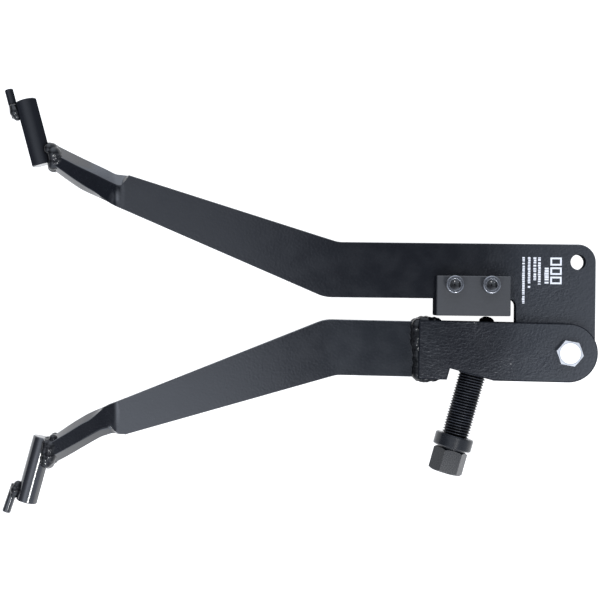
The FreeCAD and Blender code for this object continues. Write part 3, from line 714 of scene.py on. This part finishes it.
LOWER = Arm(
    "lower_arm",
    body="frame",
    tilt=-1.35,
    lift=0.0,
    side=-1,
    half_thickness=5.15,
    bend=324.3,
    step=(3.4, 0.45, 53.5, 11.0),
    edges=[
        [
            (316.9, 40.3),
            (324.6, 43.5),
            (329.4, 45.4),
            (333.5, 47.4),
            (338.9, 49.6),
            (345.8, 53.1),
            (355.4, 59.2),
            (365, 66),
            (370.6, 69.9),
        ],
        [
            (316.9, 40.3),
            (324.6, 43.5),
            (329.4, 45.4),
            (332.3, 47.1),
            (334.6, 49.6),
            (341.3, 55.6),
            (348, 59.5),
            (358.1, 66.2),
            (366.5, 71.4),
            (370.6, 74.0),
        ],
        [
            (316.9, 66.3),
            (321, 66.2),
            (324.1, 64.2),
            (327.5, 61.2),
            (329.5, 62.3),
            (334.3, 63.7),
            (344.4, 69.4),
            (357.8, 77.2),
            (364.2, 80.8),
            (370.6, 84.2),
        ],
        [
            (316.9, 66.7),
            (321.9, 66.8),
            (326.1, 66.5),
            (331.5, 68.1),
            (335, 69.5),
            (345.3, 75.6),
            (358.9, 83.9),
            (370.6, 90.3),
        ],
    ],
    dents=[(327.5, 61.2, 1.4, 1.6, 0.07)],
)


def front_height(arm, x, out):
    """Height of the shank's flat front over the arm's middle plane, less the hammer's step and dents."""
    reach, depth, middle, half_length = arm.step
    ramp = reach * max(LEAST_RAMP, 1 - ((out - middle) / half_length) ** 2)
    step = depth * min(1.0, max(0.0, 1 - (arm.bend - x) / ramp))
    height = arm.half_thickness - step + FRONT_RISE * max(0.0, x - arm.bend)
    for middle_x, middle_out, half_x, half_out, dent in arm.dents:
        away = ((x - middle_x) / half_x) ** 2 + ((out - middle_out) / half_out) ** 2
        height -= dent * math.exp(-away)
    return height


def shank_ring(arm, x):
    """The six-sided section square to x, its corners slightly rounded, as (out, height) points."""
    inner, front_inner, front_outer, outer = (edge(x) for edge in arm.edges)
    front_in = (front_inner, front_height(arm, x, front_inner))
    front_out = (front_outer, front_height(arm, x, front_outer))
    corners = [(inner, 0.0), front_in, front_out, (outer, 0.0)]
    half = []
    for start, end, steps in zip(corners, corners[1:], (BEVEL_STEPS, FACE_STEPS, BEVEL_STEPS)):
        share = CORNER_ROUND / math.dist(start, end)
        for step in range(steps + 1):
            t = share + (1 - 2 * share) * step / steps
            out = start[0] + (end[0] - start[0]) * t
            height = start[1] + (end[1] - start[1]) * t
            if steps == FACE_STEPS:
                height = front_height(arm, x, out)
            half.append((out, height))
    return half + [(out, -height) for out, height in reversed(half)]


def add_shank(shape, arm):
    rings = []
    for step in range(SHANK_STEPS + 1):
        x = BLADE_END + (SHANK_END - BLADE_END) * step / SHANK_STEPS
        rings.append([shape.verts.new(arm.point(x, out, height)) for out, height in shank_ring(arm, x)])
    loft(shape, rings)
    shape.faces.new(rings[0])
    shape.faces.new(rings[-1])


def forged_arm(arm):
    """The CAD blade, cut where its shank starts, with the forged shank drawn on from there."""
    shape = bmesh.new()
    shape.from_mesh(frame["nodes"][arm.node].data)
    bmesh.ops.remove_doubles(shape, verts=shape.verts, dist=MERGE_GAP)
    bmesh.ops.bisect_plane(
        shape,
        geom=[*shape.verts, *shape.edges, *shape.faces],
        plane_co=arm.point(BLADE_END, 0.0, 0.0),
        plane_no=arm.frame.to_3x3() @ Vector((-1.0, 0.0, 0.0)),
        clear_outer=True,
    )
    rim = [edge for edge in shape.edges if edge.is_boundary]
    bmesh.ops.edgeloop_fill(shape, edges=rim)
    add_shank(shape, arm)
    bmesh.ops.recalc_face_normals(shape, faces=shape.faces)
    mesh = finished(shape, arm.node)
    mesh.shade_smooth()
    mesh.set_sharp_from_angle(angle=BLADE_SHARP_ANGLE)
    for face in mesh.polygons:
        if abs(face.normal.z) > FLAT_FACING:
            face.use_smooth = False
    piece = link("forged_" + arm.node, mesh)
    piece.modifiers.new("even_shading", "WEIGHTED_NORMAL").keep_sharp = True
    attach(piece, arm.body)
    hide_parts(arm.node)
    coat(piece, "upper_blade_paint" if arm is UPPER else "lower_blade_paint")


# ---------------------------------------------------------------- welds

# in millimetres, apart from the wobble, a share of each drop's radius
DROP_PITCH = 1.5
DROP_WOBBLE = 0.13
WELD_GRAIN = 0.38
FLOW_FACTOR = 0.5
FLOW_STEPS = 3
# how far up the box the layers of a weld lie
LUMP_LAYERS = (0.18, 0.5, 0.82)
RUN_LAYERS = (0.14, 0.5, 0.86)


def weld(node, body, runs, seed, wobble=DROP_WOBBLE):
    """A weld melted from overlapping drops along its runs.

    A run's points are shares of the CAD weld's box along its three axes, each with a drop's radius.
    """
    chance = random.Random(seed)
    low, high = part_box(node)
    shape = bmesh.new()
    for run in runs:
        stops = []
        for across, along, up, radius in run:
            shares = Vector((across, along, up))
            stops.append((Vector(a + (b - a) * s for a, b, s in zip(low, high, shares)), radius * MM))
        for (start, start_radius), (end, end_radius) in zip(stops, stops[1:]):
            count = max(2, round((end - start).length / (DROP_PITCH * MM)))
            for step in range(count + 1):
                t = step / count
                even = start_radius + (end_radius - start_radius) * t
                radius = even * (1 + chance.uniform(-1, 1) * wobble)
                sway = Vector([chance.uniform(-1, 1) * wobble * radius for _ in range(3)])
                place = Matrix.Translation(start.lerp(end, t) + sway)
                bmesh.ops.create_icosphere(shape, subdivisions=3, radius=radius, matrix=place)
    piece = link("melted_" + node, finished(shape, node))
    melt = piece.modifiers.new("melt", "REMESH")
    melt.mode = "VOXEL"
    melt.voxel_size = WELD_GRAIN * MM
    melt.use_smooth_shade = True
    flow = piece.modifiers.new("flow", "SMOOTH")
    flow.factor = FLOW_FACTOR
    flow.iterations = FLOW_STEPS
    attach(piece, body)
    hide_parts(node)
    coat(piece, "tip_weld" if "bar" in node or "pin" in node else "clevis_weld")


def add_welds():
    # beads along the ends of the clevis's cheeks: wide at the top, narrow at the middle
    end_bead = [(0.95, 0.97, 5.2), (0.95, 0.72, 5.3), (0.98, 0.5, 4.4), (0.98, 0.25, 4.0), (0.95, 0.04, 4.6)]
    for node, height, seed in (("front_cheek_weld", 0.1, 3), ("rear_cheek_weld", 0.9, 4)):
        weld(node, "frame", [[(across, along, height, radius) for across, along, radius in end_bead]], seed)
    # lumps over the clevis's two edges, in three layers through its depth
    upper_lump = [(0.12, 0.05, 3.0), (0.32, 0.15, 3.6), (0.64, 0.14, 2.8), (0.88, 0.0, 2.6)]
    lower_lump = [(0.1, 0.9, 2.4), (0.35, 0.75, 2.9), (0.7, 0.85, 2.7), (0.9, 1.0, 2.2)]
    for node, lump, seed in (("clevis_upper_weld", upper_lump, 11), ("clevis_lower_weld", lower_lump, 12)):
        layers = [[(across, along, up, radius) for across, along, radius in lump] for up in LUMP_LAYERS]
        weld(node, "frame", layers, seed)
    # between shank and bar: two runs side by side, each in three layers through the depth
    upper_run = [(0.40, 0.72, 4.2), (0.64, 0.54, 5.0), (0.62, 0.32, 4.6), (0.52, 0.13, 4.0)]
    upper_side_run = [(0.70, 0.5, 4.4), (0.83, 0.32, 4.5), (0.76, 0.15, 3.8)]
    lower_run = [(0.24, 0.2, 4.4), (0.22, 0.45, 4.6), (0.28, 0.78, 4.2)]
    lower_side_run = [(0.44, 0.3, 4.3), (0.5, 0.64, 4.4), (0.62, 0.95, 3.0)]
    for node, body, runs, seed in (
        ("upper_bar_weld", "upper_arm", [upper_run, upper_side_run], 21),
        ("lower_bar_weld", "frame", [lower_run, lower_side_run], 22),
    ):
        layers = [
            [(across, along, up, radius) for across, along, radius in run]
            for run in runs
            for up in RUN_LAYERS
        ]
        weld(node, body, layers, seed)
    # between bar and pin, with smoother drops
    upper_pin_run = [(0.32, 0.76, 0.6, 3.0), (0.48, 0.48, 0.6, 4.0), (0.68, 0.16, 0.6, 3.0)]
    lower_pin_run = [(0.32, 0.24, 0.6, 3.0), (0.48, 0.52, 0.6, 4.0), (0.68, 0.84, 0.6, 3.0)]
    weld("upper_pin_weld", "upper_arm", [upper_pin_run], seed=31, wobble=0.03)
    weld("lower_pin_weld", "frame", [lower_pin_run], seed=33, wobble=0.08)


# ---------------------------------------------------------------- cap screws

# in millimetres
HEAD_RADIUS = 6.5
HEAD_ROUND = 1.0
HEAD_HEIGHT = 8.0
SOCKET_RIM = 4.0
SOCKET_MOUTH = 3.35
SOCKET_HALF_FLATS = 3.0
COUNTERSINK_TOP = 0.1
COUNTERSINK_DEPTH = 0.75
SOCKET_DEPTH = 4.3
DRILL_POINT = 1.2
# the outline's last rows of faces are the countersink and the socket's wall, which take the socket's painted
# shade
SOCKET_ROWS = 2
ROUND_STEPS = 6
TURN_STEPS = 48
SCREW_SHARP_ANGLE = math.radians(35.0)


def head_outline():
    """The head's outline, from its foot to the socket's floor: (radius, depth below the top)."""
    points = [(HEAD_RADIUS, HEAD_HEIGHT)]
    for step in range(ROUND_STEPS + 1):
        angle = math.radians(90.0 * step / ROUND_STEPS)
        inset = HEAD_RADIUS - HEAD_ROUND
        points.append((inset + HEAD_ROUND * math.cos(angle), HEAD_ROUND * (1 - math.sin(angle))))
    # the flat top, kept flat by a ring just inside each of its edges
    points += [(5.35, 0.0), (SOCKET_RIM + 0.4, 0.0), (SOCKET_RIM + 0.25, 0.0)]
    points += [(SOCKET_RIM, COUNTERSINK_TOP), (SOCKET_MOUTH, COUNTERSINK_DEPTH)]
    return [*points, (SOCKET_MOUTH, SOCKET_DEPTH)]


def cap_screw(node):
    """A socket head cap screw's head, with a rounded rim and a countersunk socket."""
    low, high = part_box(node)
    centre = (low + high) / 2
    shape = bmesh.new()
    rings = []
    for radius, drop in head_outline():
        ring = []
        for step in range(TURN_STEPS):
            angle = 2 * math.pi * step / TURN_STEPS
            reach = radius
            if radius == SOCKET_MOUTH:
                # the hexagonal socket: its reach from one corner to the next
                reach = SOCKET_HALF_FLATS / math.cos((angle + math.pi / 6) % (math.pi / 3) - math.pi / 6)
            from_top = Vector((reach * math.cos(angle), reach * math.sin(angle), -drop)) * MM
            ring.append(shape.verts.new(Vector((centre.x, centre.y, high.z)) + from_top))
        rings.append(ring)
    # the countersink, the socket's wall and its floor take the painted shade of the second finish
    for row in loft(shape, rings)[-SOCKET_ROWS:]:
        for face in row:
            face.material_index = 1
    drill_point = shape.verts.new((centre.x, centre.y, high.z - (SOCKET_DEPTH + DRILL_POINT) * MM))
    for index in range(TURN_STEPS):
        face = shape.faces.new((rings[-1][index], rings[-1][(index + 1) % TURN_STEPS], drill_point))
        face.material_index = 1
    shape.faces.new(rings[0])
    bmesh.ops.recalc_face_normals(shape, faces=shape.faces)
    mesh = finished(shape, node)
    mesh.shade_smooth()
    mesh.set_sharp_from_angle(angle=SCREW_SHARP_ANGLE)
    piece = link("turned_" + node, mesh)
    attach(piece, "upper_arm")
    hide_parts(node)
    coat(piece, "screw", "socket")


# ---------------------------------------------------------------- the spindle's last turns of thread

NECK_RADIUS = 8.3 * MM
# the ridge starts this far inside the neck and stays this far inside the CAD's crests
RIDGE_FOOT = NECK_RADIUS - 0.2 * MM
RIDGE_TOP = THREAD_CREST - 0.02 * MM
# half widths of its foot and of its top, as shares of the pitch
FOOT_HALF = 0.49
TOP_HALF = 0.06


def add_neck_thread():
    """The ridge between the CAD's thread and the collar, in step with the CAD's."""
    spin = JOINTS["spindle_spin"]
    axis = Vector(spin["axis"])
    # the CAD's helix starts on the side away from the tips, square to the spindle
    aside = Vector((axis.y, -axis.x, 0.0))
    up = axis.cross(aside)
    turns = (THREAD_START - COLLAR_END) / THREAD_PITCH
    profile = [
        (RIDGE_FOOT, -FOOT_HALF * THREAD_PITCH),
        (RIDGE_TOP, -TOP_HALF * THREAD_PITCH),
        (RIDGE_TOP, TOP_HALF * THREAD_PITCH),
        (RIDGE_FOOT, FOOT_HALF * THREAD_PITCH),
    ]
    shape = bmesh.new()
    rings = []
    for step in range(round(turns * TURN_STEPS) + 1):
        turned = -step / TURN_STEPS
        angle = 2 * math.pi * turned
        outward = aside * math.cos(angle) + up * math.sin(angle)
        foot = Vector(spin["pos_m"]) + axis * (THREAD_START + turned * THREAD_PITCH)
        rings.append([shape.verts.new(foot + outward * reach + axis * ahead) for reach, ahead in profile])
    loft(shape, rings)
    shape.faces.new(rings[0])
    shape.faces.new(rings[-1])
    bmesh.ops.recalc_face_normals(shape, faces=shape.faces)
    piece = link("neck_thread", finished(shape, "neck_thread"))
    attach(piece, "spindle")
    coat(piece, "oxide")


# ---------------------------------------------------------------- printed mark

# rows of a printed note on the heel, without lettering, in millimetres: (left, right, top, bottom)
NOTE_ROWS = [
    (160.85, 162.75, 31.1, -2.4),
    (164.9, 166.8, 31.1, 11.6),
    (164.9, 166.8, 10.3, 9.0),
    (168.9, 171.0, 31.0, 14.5),
    (172.2, 174.2, 31.0, 11.4),
    (176.8, 180.0, 23.6, 11.7),
]
EMBLEM = [(181.2, 189.4, 31.0, 25.2), (181.2, 189.4, 23.9, 18.5), (181.2, 189.4, 17.2, 11.8)]
EMBLEM_STROKE = 1.25
PRINT_HEIGHT = 0.03
# a row's dashes: their lengths, the gap between two, the gap between two words, and how ragged they are
DASH_LENGTHS = (0.7, 1.6)
DASH_GAP = 0.32
WORD_GAP = 3 * DASH_GAP
WORD_END_CHANCE = 0.12
DASH_INSET = 0.35
SHORTEST_REST = 0.3
PRINT_SEED = 7


def add_rectangle(shape, left, right, top, bottom):
    height = UPPER.half_thickness + PRINT_HEIGHT
    corners = [(left, bottom), (right, bottom), (right, top), (left, top)]
    turned = [UPPER.frame @ (Vector((x, y, height)) * MM) for x, y in corners]
    shape.faces.new([shape.verts.new(corner) for corner in turned])


def add_print():
    chance = random.Random(PRINT_SEED)
    shape = bmesh.new()
    pivot_x, pivot_y = PIVOT.x / MM, PIVOT.y / MM
    for left, right, top, bottom in NOTE_ROWS:
        edge = top
        while edge > bottom + SHORTEST_REST:
            foot = max(edge - chance.uniform(*DASH_LENGTHS), bottom)
            inset = chance.uniform(0.0, DASH_INSET)
            add_rectangle(shape, left + inset - pivot_x, right - pivot_x, edge - pivot_y, foot - pivot_y)
            edge = foot - (WORD_GAP if chance.random() < WORD_END_CHANCE else DASH_GAP)
    stroke = EMBLEM_STROKE
    for left, right, top, bottom in EMBLEM:
        for left_x, right_x, top_y, bottom_y in (
            (left, right, top, top - stroke),
            (left, right, bottom + stroke, bottom),
            (left, left + stroke, top - stroke, bottom + stroke),
            (right - stroke, right, top - stroke, bottom + stroke),
        ):
            add_rectangle(shape, left_x - pivot_x, right_x - pivot_x, top_y - pivot_y, bottom_y - pivot_y)
    piece = link("printed_note", finished(shape, "printed_note"))
    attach(piece, "upper_arm")
    coat(piece, "ink")


# ---------------------------------------------------------------- the object

BLOCK_EDGE_ROUND = 0.45 * MM
BLOCK_EDGE_ANGLE = math.radians(60.0)


def node_finish(name):
    """The finish of one of the CAD's own nodes."""
    if name.endswith("weld"):
        return "clevis_weld"
    if "tip" in name:
        return "upper_bar_paint" if name.startswith("upper") else "lower_bar_paint"
    if "cheek" in name or "spacer" in name:
        return "plate_paint"
    if name == "pressure_block":
        return "block"
    return "zinc" if "pivot" in name else "oxide"


def round_edges(block):
    edge_round = block.modifiers.new("edge_round", "BEVEL")
    edge_round.width = BLOCK_EDGE_ROUND
    edge_round.segments = 2
    edge_round.limit_method = "ANGLE"
    edge_round.angle_limit = BLOCK_EDGE_ANGLE


for node_name, node_object in frame["nodes"].items():
    coat(node_object, node_finish(node_name))
round_edges(frame["nodes"]["pressure_block"])
forged_arm(UPPER)
forged_arm(LOWER)
add_welds()
cap_screw("block_screw_left")
cap_screw("block_screw_right")
add_neck_thread()
add_print()
add_camera()
add_floor()
surround()
for lamp_name, lamp_facts in LAMPS.items():
    softbox(lamp_name, *lamp_facts)
bpy.context.scene.view_settings.view_transform = "Standard"
